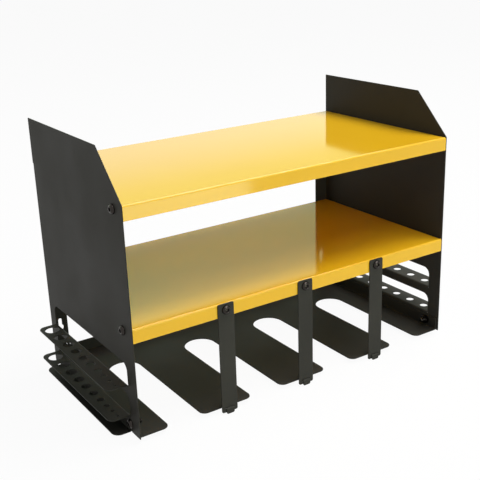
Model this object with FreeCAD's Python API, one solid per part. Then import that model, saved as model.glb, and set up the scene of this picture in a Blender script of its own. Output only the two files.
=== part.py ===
import FreeCAD, Part
import math
import os

# Wall-mounted power tool organizer, folded from sheet steel and bolted together.
# The wall is the plane y = 0 and the front looks along -Y. Sizes are in millimetres.
# Heights below are measured from the drill rack's underside. The written pieces are lowered
# so that the origin lies on the wall, in the middle of the four keyholes.

# Overall sizes of the two side panels
overall_width = 432.0
panel_depth = 228.0
panel_height = 304.0
panel_chamfer = 50.0
panel_sheet = 1.2
bend_radius = 1.0

# Inward flanges at the wall, and what is cut into them
wall_flange_width = 20.5
wall_flange_drop = 2.0
keyhole_inset = 11.0
keyhole_height = 41.0
keyhole_rise = 167.0
keyhole_entry_radius = 4.0
keyhole_slot_width = 4.5
keyhole_slot_length = 12.0
lug_width = 10.0
lug_overlap = 5.0
lug_root = 3.0
lug_clearance = 0.3
joggle_angle = math.radians(45)

# Windows cut in the panels, whose metal is folded out into perforated racks
rack_rear_margin = 17.0
rack_front_margin = 19.0
rack_reach = 23.5
rack_corner_radius = 8.0
lance_gap = 1.0
upper_rack_height = 55.5
lower_rack_height = 19.8
tray_reach = 19.0
tray_corner_radius = 9.0

# Holes in the racks: bits of falling size on the left, equal holes on the right
hole_line_offset = 11.0
bit_diameters = [17.0, 15.0, 13.5, 12.0, 11.0, 10.0, 8.0, 6.0, 4.0, 3.0]
bit_end_margin = 5.5
driver_hole_diameter = 10.0
driver_hole_count = 7
driver_end_margin = 18.0

# Shelves. The top one lies where the panels' front chamfer ends.
lower_shelf_height = 125.5
shelf_sheet = 1.2
shelf_lip = 16.0
corner_gap = 0.6

# Drill rack: the slotted floor plate
drill_sheet = 1.2
drill_flange = 16.0
drill_front_setback = 3.0
slot_count = 4
slot_width = 40.0
slot_depth = 166.0
outer_finger_width = 36.3
finger_corner_radius = 8.0
tongue_width = 10.0
tongue_drop = 6.0
tongue_corner_radius = 2.0

# Hanger straps between the lower shelf's lip and the drill rack
strap_width = 20.0
strap_thickness = 1.5
strap_top_setback = 0.5
strap_tail = 4.2
strap_corner_radius = 2.0
strap_slot_above = 1.4
strap_slot_below = 0.5
tongue_clearance = 0.3

# Fasteners: button-head screws with a hexagon socket, and plain nuts
screw_diameter = 6.0
screw_length = 12.0
screw_head_diameter = 10.5
screw_head_height = 3.3
screw_rim_height = 0.66
screw_crown_diameter = 6.0
screw_dome_bulge = 0.46
screw_socket_width = 4.0
screw_socket_depth = 2.0
screw_point_chamfer = 0.8
screw_hole_diameter = 6.6
nut_width = 10.0
nut_height = 5.0
nut_bore_clearance = 0.05
nut_face_share = 0.95
nut_chamfer_angle = math.radians(30)
side_screw_inset = 20.0
shelf_screw_drop = 7.5
drill_screw_height = 10.0

# How far a cutter runs past the faces it opens, and the distance at which points are one
cut_overrun = 1.0
same_point = 1e-6

# Worked out from the sizes above
half_width = overall_width / 2
inner_half_width = half_width - panel_sheet
top_shelf_height = panel_height - panel_chamfer
rack_length = panel_depth - rack_rear_margin - rack_front_margin
rack_rear = -rack_rear_margin - lance_gap
rack_front = rack_rear - rack_length + 2 * lance_gap
window_radius = rack_corner_radius + lance_gap
shelf_rear = -panel_sheet
drill_rear = -panel_sheet
drill_front = -panel_depth + drill_front_setback
slot_end_radius = slot_width / 2
inner_finger_width = (
    2 * inner_half_width - 2 * outer_finger_width - slot_count * slot_width
) / (slot_count - 1)
finger_pitch = slot_width + inner_finger_width
strap_centres = [
    (index - (slot_count - 2) / 2) * finger_pitch for index in range(slot_count - 1)
]
strap_front = -panel_depth - strap_thickness
strap_bottom = -strap_tail
strap_top = lower_shelf_height - strap_top_setback
keyhole_x = half_width - keyhole_inset
keyhole_heights = [keyhole_height, keyhole_height + keyhole_rise]
origin_height = keyhole_height + keyhole_rise / 2
shelf_screw_heights = [top_shelf_height - shelf_screw_drop, lower_shelf_height - shelf_screw_drop]
side_screw_y = -panel_depth + side_screw_inset


def vector(x, y, z):
    return FreeCAD.Vector(x, y, z)


# Box between two opposite corners, given in any order
def block(x0, x1, y0, y1, z0, z1):
    corner = vector(min(x0, x1), min(y0, y1), min(z0, z1))
    return Part.makeBox(abs(x1 - x0), abs(y1 - y0), abs(z1 - z0), corner)


# Cylinder centred on a point, running both ways along an axis
def through_hole(centre, axis, radius, half_length):
    start = centre - axis * half_length
    return Part.makeCylinder(radius, 2 * half_length, start, axis)


# Closed outline through corners (u, v, radius), laid in the plane origin + u*across + v*along
def rounded_outline(corners, origin, across, along):
    points = [origin + across * u + along * v for u, v, radius in corners]
    arcs = {}
    starts = []
    ends = []
    for index, (u, v, radius) in enumerate(corners):
        here = points[index]
        to_last = (points[index - 1] - here).normalize()
        to_next = (points[(index + 1) % len(points)] - here).normalize()
        if radius == 0:
            starts.append(here)
            ends.append(here)
            continue
        half_angle = to_last.getAngle(to_next) / 2
        reach = radius / math.tan(half_angle)
        inward = (to_last + to_next).normalize()
        middle = here + inward * (radius / math.sin(half_angle) - radius)
        starts.append(here + to_last * reach)
        ends.append(here + to_next * reach)
        arcs[index] = Part.Arc(starts[index], middle, ends[index]).toShape()
    loop = []
    for index in range(len(corners)):
        if index in arcs:
            loop.append(arcs[index])
        following = (index + 1) % len(corners)
        if ends[index].distanceToPoint(starts[following]) > same_point:
            loop.append(Part.makeLine(ends[index], starts[following]))
    return Part.Wire(loop)


# Flat sheet inside a closed outline, extruded along a vector
def rounded_sheet(corners, origin, across, along, thickness_vector):
    face = Part.Face(rounded_outline(corners, origin, across, along))
    return face.extrude(thickness_vector)


# Quarter bend round a centre line, from one unit direction to another, extruded along a vector
def quarter_bend(centre, first, second, inner_radius, sheet, run):
    outer_radius = inner_radius + sheet
    diagonal = (first + second).normalize()
    inner_arc = Part.Arc(
        centre + first * inner_radius,
        centre + diagonal * inner_radius,
        centre + second * inner_radius,
    ).toShape()
    outer_arc = Part.Arc(
        centre + second * outer_radius,
        centre + diagonal * outer_radius,
        centre + first * outer_radius,
    ).toShape()
    edge_out = Part.makeLine(centre + second * inner_radius, centre + second * outer_radius)
    edge_back = Part.makeLine(centre + first * outer_radius, centre + first * inner_radius)
    face = Part.Face(Part.Wire([inner_arc, edge_out, outer_arc, edge_back]))
    return face.extrude(run)


def joined(shapes):
    return shapes[0].multiFuse(shapes[1:]).removeSplitter()


def mirrored_in_x(shape):
    return shape.mirror(vector(0, 0, 0), vector(1, 0, 0))


# Joggled lug that stands proud of a wall flange and holds another sheet's edge against it.
# The edge lies at edge_z, and the lug points up (upward = 1) or down (upward = -1).
def wall_lug(edge_z, upward, held_sheet):
    half = panel_sheet / 2
    offset = panel_sheet + held_sheet + lug_clearance
    root_y = -half
    lug_y = root_y - offset
    joggle_start = edge_z - upward * offset / math.tan(joggle_angle)
    levels = [
        (root_y, joggle_start - upward * lug_root),
        (root_y, joggle_start),
        (lug_y, edge_z),
        (lug_y, edge_z + upward * lug_overlap),
    ]
    slant = half * math.tan(joggle_angle / 2)
    front_side = [
        (levels[0][0] - half, levels[0][1]),
        (levels[1][0] - half, levels[1][1] - upward * slant),
        (levels[2][0] - half, levels[2][1] - upward * slant),
        (levels[3][0] - half, levels[3][1]),
    ]
    rear_side = [
        (levels[3][0] + half, levels[3][1]),
        (levels[2][0] + half, levels[2][1] + upward * slant),
        (levels[1][0] + half, levels[1][1] + upward * slant),
        (levels[0][0] + half, levels[0][1]),
    ]
    start_x = -keyhole_x - lug_width / 2
    points = [vector(start_x, y, z) for y, z in front_side + rear_side]
    profile = Part.Face(Part.makePolygon(points + points[:1]))
    lug = profile.extrude(vector(lug_width, 0, 0))
    window = block(
        start_x - lance_gap,
        start_x + lug_width + lance_gap,
        -panel_sheet - cut_overrun,
        cut_overrun,
        joggle_start,
        edge_z + upward * (lug_overlap + lance_gap),
    )
    return lug, window


# Keyhole through a wall flange: a round entry below and a narrow slot above it
def keyhole(entry_z):
    middle = vector(-keyhole_x, 0, entry_z)
    depth = panel_sheet + cut_overrun
    slot_top = entry_z + keyhole_slot_length - keyhole_slot_width / 2
    entry = through_hole(middle, vector(0, 1, 0), keyhole_entry_radius, depth)
    slot = block(
        -keyhole_x - keyhole_slot_width / 2,
        -keyhole_x + keyhole_slot_width / 2,
        -depth,
        depth,
        entry_z,
        slot_top,
    )
    seat = through_hole(
        vector(-keyhole_x, 0, slot_top), vector(0, 1, 0), keyhole_slot_width / 2, depth
    )
    return [entry, slot, seat]


# Wall flange of the left panel, with its bend, keyholes and lugs
def wall_flange():
    outer_radius = bend_radius + panel_sheet
    flange_top = top_shelf_height - wall_flange_drop
    bend = quarter_bend(
        vector(-half_width + outer_radius, -outer_radius, 0),
        vector(-1, 0, 0),
        vector(0, 1, 0),
        bend_radius,
        panel_sheet,
        vector(0, 0, flange_top),
    )
    web = block(
        -half_width + outer_radius,
        -half_width + wall_flange_width,
        -panel_sheet,
        0,
        0,
        flange_top,
    )
    cutters = []
    for entry_z in keyhole_heights:
        cutters += keyhole(entry_z)
    seats = [
        (top_shelf_height - shelf_lip, 1, shelf_sheet),
        (lower_shelf_height - shelf_lip, 1, shelf_sheet),
        (drill_flange, -1, drill_sheet),
    ]
    lugs = []
    for edge_z, upward, held_sheet in seats:
        lug, window = wall_lug(edge_z, upward, held_sheet)
        lugs.append(lug)
        cutters.append(window)
    return joined([web.cut(Part.makeCompound(cutters)), bend] + lugs)


# Sheet folded outward at the foot of a window, with its top face at rack_height
def folded_rack(rack_height):
    outer_radius = bend_radius + panel_sheet
    bend_centre_x = -half_width - bend_radius
    bend = quarter_bend(
        vector(bend_centre_x, rack_front, rack_height - outer_radius),
        vector(1, 0, 0),
        vector(0, 0, 1),
        bend_radius,
        panel_sheet,
        vector(0, rack_rear - rack_front, 0),
    )
    corners = [
        (bend_centre_x, rack_front, 0),
        (-half_width - rack_reach, rack_front, rack_corner_radius),
        (-half_width - rack_reach, rack_rear, rack_corner_radius),
        (bend_centre_x, rack_rear, 0),
    ]
    flat = rounded_sheet(
        corners,
        vector(0, 0, rack_height - panel_sheet),
        vector(1, 0, 0),
        vector(0, 1, 0),
        vector(0, 0, panel_sheet),
    )
    return [bend, flat]


# Opening that is left above a folded rack
def window_cutter(rack_height):
    bottom = rack_height - bend_radius - panel_sheet
    top = rack_height + rack_reach + lance_gap
    front = rack_front - lance_gap
    rear = rack_rear + lance_gap
    corners = [
        (front, bottom, 0),
        (rear, bottom, 0),
        (rear, top, window_radius),
        (front, top, window_radius),
    ]
    return rounded_sheet(
        corners,
        vector(-half_width - cut_overrun, 0, 0),
        vector(0, 1, 0),
        vector(0, 0, 1),
        vector(panel_sheet + 2 * cut_overrun, 0, 0),
    )


# Folded tray along the panel's foot, bent outward with its underside at z = 0
def foot_tray():
    outer_radius = bend_radius + panel_sheet
    bend_centre_x = -half_width - bend_radius
    bend = quarter_bend(
        vector(bend_centre_x, rack_front, outer_radius),
        vector(1, 0, 0),
        vector(0, 0, -1),
        bend_radius,
        panel_sheet,
        vector(0, rack_rear - rack_front, 0),
    )
    corners = [
        (bend_centre_x, rack_front, 0),
        (-half_width - tray_reach, rack_front, tray_corner_radius),
        (-half_width - tray_reach, rack_rear, tray_corner_radius),
        (bend_centre_x, rack_rear, 0),
    ]
    flat = rounded_sheet(
        corners, vector(0, 0, 0), vector(1, 0, 0), vector(0, 1, 0), vector(0, 0, panel_sheet)
    )
    relief = block(
        -half_width - cut_overrun,
        -inner_half_width + cut_overrun,
        rack_front - lance_gap,
        rack_rear + lance_gap,
        -cut_overrun,
        outer_radius,
    )
    return [bend, flat], relief


# Hole centres and diameters for bits of falling size, evenly webbed from the wall forward
def graded_holes():
    free = rack_rear - rack_front - 2 * bit_end_margin - sum(bit_diameters)
    web = free / (len(bit_diameters) - 1)
    holes = []
    edge = rack_rear - bit_end_margin
    for diameter in bit_diameters:
        holes.append((edge - diameter / 2, diameter))
        edge -= diameter + web
    return holes


# Hole centres and diameters for the equal holes, evenly spread along the rack
def equal_holes():
    first = rack_rear - driver_end_margin
    span = rack_rear - rack_front - 2 * driver_end_margin
    pitch = span / (driver_hole_count - 1)
    return [(first - index * pitch, driver_hole_diameter) for index in range(driver_hole_count)]


# Side panel as it stands on the left, with the given rack holes
def side_panel(rack_holes):
    outer_radius = bend_radius + panel_sheet
    flange_top = top_shelf_height - wall_flange_drop
    outline = [
        (-outer_radius, 0),
        (-outer_radius, flange_top),
        (0, flange_top),
        (0, panel_height),
        (-panel_depth + panel_chamfer, panel_height),
        (-panel_depth, panel_height - panel_chamfer),
        (-panel_depth, 0),
    ]
    points = [vector(-half_width, y, z) for y, z in outline]
    face = Part.Face(Part.makePolygon(points + points[:1]))
    sheet = face.extrude(vector(panel_sheet, 0, 0))
    rack_heights = [upper_rack_height, lower_rack_height]
    tray, tray_relief = foot_tray()
    cutters = [window_cutter(height) for height in rack_heights] + [tray_relief]
    depth = panel_sheet + cut_overrun
    for height in shelf_screw_heights + [drill_screw_height]:
        centre = vector(-half_width, side_screw_y, height)
        cutters.append(through_hole(centre, vector(1, 0, 0), screw_hole_diameter / 2, depth))
    sheet = sheet.cut(Part.makeCompound(cutters))
    folds = [wall_flange()] + tray
    hole_cutters = []
    for height in rack_heights:
        folds += folded_rack(height)
        for y, diameter in rack_holes:
            centre = vector(-half_width - hole_line_offset, y, height)
            hole_cutters.append(through_hole(centre, vector(0, 0, 1), diameter / 2, depth))
    return joined([sheet] + folds).cut(Part.makeCompound(hole_cutters))


# Down-turned edge on one long side of a shelf: its bend and its flat lip
def shelf_front_or_rear(top_z, face_y, inward, half_span):
    outer_radius = bend_radius + shelf_sheet
    bend = quarter_bend(
        vector(-half_span, face_y + inward * outer_radius, top_z - outer_radius),
        vector(0, -inward, 0),
        vector(0, 0, 1),
        bend_radius,
        shelf_sheet,
        vector(2 * half_span, 0, 0),
    )
    lip = block(
        -half_span,
        half_span,
        face_y,
        face_y + inward * shelf_sheet,
        top_z - outer_radius,
        top_z - shelf_lip,
    )
    return [bend, lip]


# Down-turned edge on the left side of a shelf, stopping short of the front and rear lips
def shelf_side(top_z, front_y, rear_y):
    outer_radius = bend_radius + shelf_sheet
    start = front_y + outer_radius + corner_gap
    end = rear_y - outer_radius - corner_gap
    bend = quarter_bend(
        vector(-inner_half_width + outer_radius, start, top_z - outer_radius),
        vector(-1, 0, 0),
        vector(0, 0, 1),
        bend_radius,
        shelf_sheet,
        vector(0, end - start, 0),
    )
    lip = block(
        -inner_half_width,
        -inner_half_width + shelf_sheet,
        start,
        end,
        top_z - outer_radius,
        top_z - shelf_lip,
    )
    return [bend, lip]


# Shelf: a flat top with four down-turned edges, and screw holes in its sides
def shelf(top_z):
    outer_radius = bend_radius + shelf_sheet
    front_y = -panel_depth
    top = block(
        -inner_half_width + outer_radius,
        inner_half_width - outer_radius,
        front_y + outer_radius,
        shelf_rear - outer_radius,
        top_z - shelf_sheet,
        top_z,
    )
    left = shelf_side(top_z, front_y, shelf_rear)
    right = [mirrored_in_x(piece) for piece in left]
    front = shelf_front_or_rear(top_z, front_y, 1, inner_half_width)
    rear = shelf_front_or_rear(top_z, shelf_rear, -1, inner_half_width - outer_radius)
    body = joined([top] + left + right + front + rear)
    centre = vector(0, side_screw_y, top_z - shelf_screw_drop)
    return body.cut(through_hole(centre, vector(1, 0, 0), screw_hole_diameter / 2, half_width))


# Lower shelf: the plain shelf with holes in its front lip for the hanger straps
def lower_shelf():
    cutters = []
    for x in strap_centres:
        centre = vector(x, -panel_depth, lower_shelf_height - shelf_screw_drop)
        depth = shelf_sheet + cut_overrun
        cutters.append(through_hole(centre, vector(0, 1, 0), screw_hole_diameter / 2, depth))
    return shelf(lower_shelf_height).cut(Part.makeCompound(cutters))


# Outline of the drill rack's floor, with fingers between the open slots
def drill_rack_outline():
    side = inner_half_width - bend_radius - drill_sheet
    rear = drill_rear - bend_radius - drill_sheet
    slot_end = drill_front + slot_depth
    corners = [(side, rear, 0), (-side, rear, 0), (-side, drill_front, 0)]
    for index in range(slot_count):
        centre = (index - (slot_count - 1) / 2) * finger_pitch
        left = centre - slot_width / 2
        right = centre + slot_width / 2
        corners.append((left, drill_front, finger_corner_radius))
        corners.append((left, slot_end, slot_end_radius))
        corners.append((right, slot_end, slot_end_radius))
        corners.append((right, drill_front, finger_corner_radius))
    corners.append((side, drill_front, 0))
    return corners


# Tongue at a finger's tip: it passes through a strap and is turned down in front of it
def finger_tongue(x):
    face_y = strap_front - tongue_clearance
    bend_centre = vector(x - tongue_width / 2, face_y + bend_radius, -bend_radius)
    bend = quarter_bend(
        bend_centre,
        vector(0, 0, 1),
        vector(0, -1, 0),
        bend_radius,
        drill_sheet,
        vector(tongue_width, 0, 0),
    )
    flat = block(
        x - tongue_width / 2,
        x + tongue_width / 2,
        bend_centre.y,
        drill_front,
        0,
        drill_sheet,
    )
    half = tongue_width / 2
    corners = [
        (x - half, -bend_radius, 0),
        (x - half, -tongue_drop, tongue_corner_radius),
        (x + half, -tongue_drop, tongue_corner_radius),
        (x + half, -bend_radius, 0),
    ]
    tip = rounded_sheet(
        corners,
        vector(0, face_y, 0),
        vector(1, 0, 0),
        vector(0, 0, 1),
        vector(0, -drill_sheet, 0),
    )
    return [flat, bend, tip]


# Drill rack: slotted floor, up-turned sides and rear, and three tongues for the straps
def drill_rack():
    outer_radius = bend_radius + drill_sheet
    floor = rounded_sheet(
        drill_rack_outline(),
        vector(0, 0, 0),
        vector(1, 0, 0),
        vector(0, 1, 0),
        vector(0, 0, drill_sheet),
    )
    side_end = drill_rear - outer_radius - corner_gap
    side_bend = quarter_bend(
        vector(-inner_half_width + outer_radius, drill_front, outer_radius),
        vector(-1, 0, 0),
        vector(0, 0, -1),
        bend_radius,
        drill_sheet,
        vector(0, side_end - drill_front, 0),
    )
    side = block(
        -inner_half_width,
        -inner_half_width + drill_sheet,
        drill_front,
        side_end,
        outer_radius,
        drill_flange,
    )
    rear_span = inner_half_width - outer_radius
    rear_bend = quarter_bend(
        vector(-rear_span, drill_rear - outer_radius, outer_radius),
        vector(0, 1, 0),
        vector(0, 0, -1),
        bend_radius,
        drill_sheet,
        vector(2 * rear_span, 0, 0),
    )
    rear = block(
        -rear_span, rear_span, drill_rear, drill_rear - drill_sheet, outer_radius, drill_flange
    )
    pieces = [floor, side_bend, side, mirrored_in_x(side_bend), mirrored_in_x(side)]
    pieces += [rear_bend, rear]
    for x in strap_centres:
        pieces += finger_tongue(x)
    body = joined(pieces)
    centre = vector(0, side_screw_y, drill_screw_height)
    return body.cut(through_hole(centre, vector(1, 0, 0), screw_hole_diameter / 2, half_width))


# Hanger strap: a flat bar with a screw hole near the top and a slot near its foot
def hanger_strap(x):
    half = strap_width / 2
    corners = [
        (x - half, strap_bottom, strap_corner_radius),
        (x + half, strap_bottom, strap_corner_radius),
        (x + half, strap_top, strap_corner_radius),
        (x - half, strap_top, strap_corner_radius),
    ]
    bar = rounded_sheet(
        corners,
        vector(0, -panel_depth, 0),
        vector(1, 0, 0),
        vector(0, 0, 1),
        vector(0, -strap_thickness, 0),
    )
    centre = vector(x, -panel_depth, lower_shelf_height - shelf_screw_drop)
    depth = strap_thickness + cut_overrun
    hole = through_hole(centre, vector(0, 1, 0), screw_hole_diameter / 2, depth)
    slot_half = tongue_width / 2 + tongue_clearance
    slot = block(
        x - slot_half,
        x + slot_half,
        -panel_depth - depth,
        -panel_depth + depth,
        -strap_slot_below,
        drill_sheet + strap_slot_above,
    )
    return bar.cut(Part.makeCompound([hole, slot]))


# Hexagon prism on z = 0, given its width across flats
def hexagon_prism(across_flats, height):
    corner_radius = across_flats / math.sqrt(3)
    points = []
    for index in range(6):
        angle = index * math.pi / 3
        points.append(vector(corner_radius * math.cos(angle), corner_radius * math.sin(angle), 0))
    face = Part.Face(Part.makePolygon(points + points[:1]))
    return face.extrude(vector(0, 0, height))


# Button-head screw standing on z = 0 with its shank pointing down
def button_screw():
    radius = screw_diameter / 2
    point_radius = radius - screw_point_chamfer
    rim = vector(screw_head_diameter / 2, 0, screw_rim_height)
    crown = vector(screw_crown_diameter / 2, 0, screw_head_height)
    slope = (crown - rim).normalize()
    dome = (rim + crown) / 2 + vector(slope.z, 0, -slope.x) * screw_dome_bulge
    below = [
        vector(0, 0, screw_head_height),
        vector(0, 0, -screw_length),
        vector(point_radius, 0, -screw_length),
        vector(radius, 0, -screw_length + screw_point_chamfer),
        vector(radius, 0, 0),
        vector(rim.x, 0, 0),
        rim,
    ]
    outline = [Part.makeLine(start, end) for start, end in zip(below, below[1:])]
    outline.append(Part.Arc(rim, dome, crown).toShape())
    outline.append(Part.makeLine(crown, below[0]))
    body = Part.Face(Part.Wire(outline)).revolve(vector(0, 0, 0), vector(0, 0, 1), 360)
    socket = hexagon_prism(screw_socket_width, screw_socket_depth + cut_overrun)
    socket.translate(vector(0, 0, screw_head_height - screw_socket_depth))
    return body.cut(socket)


# Plain nut hanging below z = 0, with chamfered corners and a clear bore
def plain_nut():
    face_radius = nut_width / 2 * nut_face_share
    corner_radius = nut_width / math.sqrt(3)
    slope_height = (corner_radius - face_radius) * math.tan(nut_chamfer_angle)
    profile = [
        (0, 0),
        (face_radius, 0),
        (corner_radius, slope_height),
        (corner_radius, nut_height - slope_height),
        (face_radius, nut_height),
        (0, nut_height),
    ]
    points = [vector(radius, 0, z) for radius, z in profile]
    turned = Part.Face(Part.makePolygon(points + points[:1]))
    turned = turned.revolve(vector(0, 0, 0), vector(0, 0, 1), 360)
    blank = hexagon_prism(nut_width, nut_height).common(turned)
    bore_radius = screw_diameter / 2 + nut_bore_clearance
    depth = nut_height + cut_overrun
    nut = blank.cut(through_hole(vector(0, 0, 0), vector(0, 0, 1), bore_radius, depth))
    nut.translate(vector(0, 0, -nut_height))
    return nut


# Moves a fastener that stands on z = 0 to a seat and turns it towards a direction
def placed(shape, seat, direction):
    move = FreeCAD.Placement(seat, FreeCAD.Rotation(vector(0, 0, 1), direction))
    moved = shape.copy()
    moved.Placement = move.multiply(shape.Placement)
    return moved


# Screw and nut that clamp a stack of sheets whose outer face is the seat
def bolted_pair(seat, outward, grip):
    screw = placed(button_screw(), seat, outward)
    nut = placed(plain_nut(), seat - outward * grip, outward)
    return screw, nut


# Checks a finished piece, moves it into the part's frame and writes it
def write(name, shape):
    if not shape.isValid():
        raise ValueError("the shape of " + name + " is not valid")
    shape.translate(vector(0, 0, -origin_height))
    shape.exportStep(os.path.join("parts", name + ".step"))
    print(name, len(shape.Solids), "solid,", round(shape.Volume / 1000, 2), "cm3")


def main():
    os.makedirs("parts", exist_ok=True)
    write("left_side_panel", side_panel(graded_holes()))
    write("right_side_panel", mirrored_in_x(side_panel(equal_holes())))
    write("top_shelf", shelf(top_shelf_height))
    write("lower_shelf", lower_shelf())
    write("drill_rack", drill_rack())
    for number, x in enumerate(strap_centres, 1):
        write("hanger_strap_" + str(number), hanger_strap(x))
        seat = vector(x, strap_front, lower_shelf_height - shelf_screw_drop)
        screw, nut = bolted_pair(seat, vector(0, -1, 0), strap_thickness + shelf_sheet)
        write("hanger_strap_screw_" + str(number), screw)
        write("hanger_strap_nut_" + str(number), nut)
    side_joints = [
        ("top_shelf", shelf_screw_heights[0], shelf_sheet),
        ("lower_shelf", shelf_screw_heights[1], shelf_sheet),
        ("drill_rack", drill_screw_height, drill_sheet),
    ]
    for name, height, inner_sheet in side_joints:
        for side, outward in (("left", -1), ("right", 1)):
            seat = vector(outward * half_width, side_screw_y, height)
            screw, nut = bolted_pair(seat, vector(outward, 0, 0), panel_sheet + inner_sheet)
            write(name + "_screw_" + side, screw)
            write(name + "_nut_" + side, nut)


main()
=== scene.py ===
import math

import bmesh
import bpy
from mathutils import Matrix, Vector


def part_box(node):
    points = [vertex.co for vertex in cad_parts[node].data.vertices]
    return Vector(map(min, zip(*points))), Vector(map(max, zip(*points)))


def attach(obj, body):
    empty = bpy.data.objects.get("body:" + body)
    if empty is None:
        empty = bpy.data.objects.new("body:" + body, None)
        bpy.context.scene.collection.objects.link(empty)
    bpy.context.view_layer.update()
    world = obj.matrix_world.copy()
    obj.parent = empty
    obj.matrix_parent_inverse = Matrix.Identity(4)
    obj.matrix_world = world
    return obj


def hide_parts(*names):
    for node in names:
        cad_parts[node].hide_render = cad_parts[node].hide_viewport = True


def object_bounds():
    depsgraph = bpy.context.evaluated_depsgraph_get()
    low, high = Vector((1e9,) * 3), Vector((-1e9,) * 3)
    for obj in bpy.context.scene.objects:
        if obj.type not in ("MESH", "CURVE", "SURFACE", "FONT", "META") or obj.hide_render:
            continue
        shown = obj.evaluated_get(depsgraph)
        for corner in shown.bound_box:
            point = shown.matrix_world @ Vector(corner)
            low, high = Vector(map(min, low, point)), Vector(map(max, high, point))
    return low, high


# Wall-mounted power tool organizer: folded sheet steel, gloss yellow shelves between satin black panels
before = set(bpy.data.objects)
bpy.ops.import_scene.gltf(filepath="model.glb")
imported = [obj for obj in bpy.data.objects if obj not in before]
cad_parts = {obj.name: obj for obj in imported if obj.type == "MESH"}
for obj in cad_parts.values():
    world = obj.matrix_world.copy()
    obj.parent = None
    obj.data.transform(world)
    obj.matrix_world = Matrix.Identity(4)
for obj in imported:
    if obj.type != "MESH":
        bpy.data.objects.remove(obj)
cadLow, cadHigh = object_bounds()
mm = 0.001
print("frame loaded:", len(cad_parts), "CAD nodes")


def linearColour(hexCode):
    # sRGB hex to the linear values that shaders take
    values = [int(hexCode[i:i + 2], 16) / 255 for i in (1, 3, 5)]
    return [v / 12.92 if v <= 0.04045 else ((v + 0.055) / 1.055) ** 2.4 for v in values] + [1.0]


def addNode(tree, kind, values=None, links=None, **settings):
    # one node with its settings, its input values and the sockets that feed it
    node = tree.nodes.new(kind)
    for name, value in settings.items():
        setattr(node, name, value)
    for key, value in (values or {}).items():
        node.inputs[key].default_value = value
    for key, socket in (links or {}).items():
        tree.links.new(socket, node.inputs[key])
    return node


# the camera stands where the photograph was taken from: left of the object and a little above it
cameraSettings = {
    "place": (-549.49, -946.32, 367.63),   # mm, from the middle of the four keyholes
    "turn": (70.5882, 1.9532, -33.6374),   # degrees
    "sensor": 36.0,   # mm
    "lens": 65.264,   # mm
}


def photoCamera(s):
    data = bpy.data.cameras.new("photoCamera")
    data.lens = s["lens"]
    data.sensor_width = s["sensor"]
    camera = bpy.data.objects.new("photoCamera", data)
    camera.location = Vector(s["place"]) * mm
    camera.rotation_euler = [math.radians(a) for a in s["turn"]]
    bpy.context.scene.collection.objects.link(camera)
    bpy.context.scene.camera = camera
    bpy.context.scene.view_settings.view_transform = "Standard"


photoCamera(cameraSettings)
print("camera placed")


def newMaterial(name):
    material = bpy.data.materials.new(name)
    material.use_nodes = True
    material.node_tree.nodes.clear()
    return material, material.node_tree


blackCoatSettings = {
    "colours": ("#282623", "#3B3935"),
    "patch": 70.0,   # mm, slow drift of the coat's shade and haze
    "patchDetail": 2.0,   # finer layers in it
    "peel": 2.6,   # mm, ripples of the cured film
    "peelDetail": 1.0,
    "peelDepth": 0.03,   # mm
    "peelStrength": 0.25,   # share of that depth that shows
    "grit": 0.9,   # mm, the fine texture is 0.3 mm in life and drawn coarser so that it shows
    "gritDetail": 2.0,
    "gritDepth": 0.02,   # mm
    "gritStrength": 0.35,
    "haze": (0.42, 0.72),   # roughness over the patches
    "gritHaze": (-0.03, 0.03),   # and what the grit adds to it
    "ior": 1.45,
    "shine": 0.155,   # specular level, where 0.5 is the full gloss of that index
    "cast": "#FAFFF0",   # tint of the gloss
}


def satinBlackPowderCoat(s):
    # polyester powder sprayed on steel and baked: satin, with a fine grit and soft wide highlights
    material, tree = newMaterial("satinBlackPowderCoat")
    dark, light = (linearColour(hexCode) for hexCode in s["colours"])
    place = addNode(tree, "ShaderNodeTexCoord").outputs["Object"]
    patch = addNode(tree, "ShaderNodeTexNoise", {"Scale": 1 / (s["patch"] * mm), "Detail": s["patchDetail"]},
                    {"Vector": place})
    peel = addNode(tree, "ShaderNodeTexNoise", {"Scale": 1 / (s["peel"] * mm), "Detail": s["peelDetail"]},
                   {"Vector": place})
    grit = addNode(tree, "ShaderNodeTexNoise", {"Scale": 1 / (s["grit"] * mm), "Detail": s["gritDetail"]},
                   {"Vector": place})
    shade = addNode(tree, "ShaderNodeMix", {"A": dark, "B": light}, {"Factor": patch.outputs["Fac"]},
                    data_type="RGBA")
    haze = addNode(tree, "ShaderNodeMapRange", {"To Min": s["haze"][0], "To Max": s["haze"][1]},
                   {"Value": patch.outputs["Fac"]})
    gritHaze = addNode(tree, "ShaderNodeMapRange", {"To Min": s["gritHaze"][0], "To Max": s["gritHaze"][1]},
                       {"Value": grit.outputs["Fac"]})
    rough = addNode(tree, "ShaderNodeMath", None, {0: haze.outputs["Result"], 1: gritHaze.outputs["Result"]},
                    operation="ADD")
    ripple = addNode(tree, "ShaderNodeBump", {"Strength": s["peelStrength"], "Distance": s["peelDepth"] * mm},
                     {"Height": peel.outputs["Fac"]})
    texture = addNode(tree, "ShaderNodeBump",
                      {"Strength": s["gritStrength"], "Distance": s["gritDepth"] * mm},
                      {"Height": grit.outputs["Fac"], "Normal": ripple.outputs["Normal"]})
    coat = addNode(tree, "ShaderNodeBsdfPrincipled",
                   {"IOR": s["ior"], "Specular IOR Level": s["shine"],
                    "Specular Tint": linearColour(s["cast"])},
                   {"Base Color": shade.outputs["Result"], "Roughness": rough.outputs[0],
                    "Normal": texture.outputs["Normal"]})
    addNode(tree, "ShaderNodeOutputMaterial", None, {"Surface": coat.outputs["BSDF"]})
    return material


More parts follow.
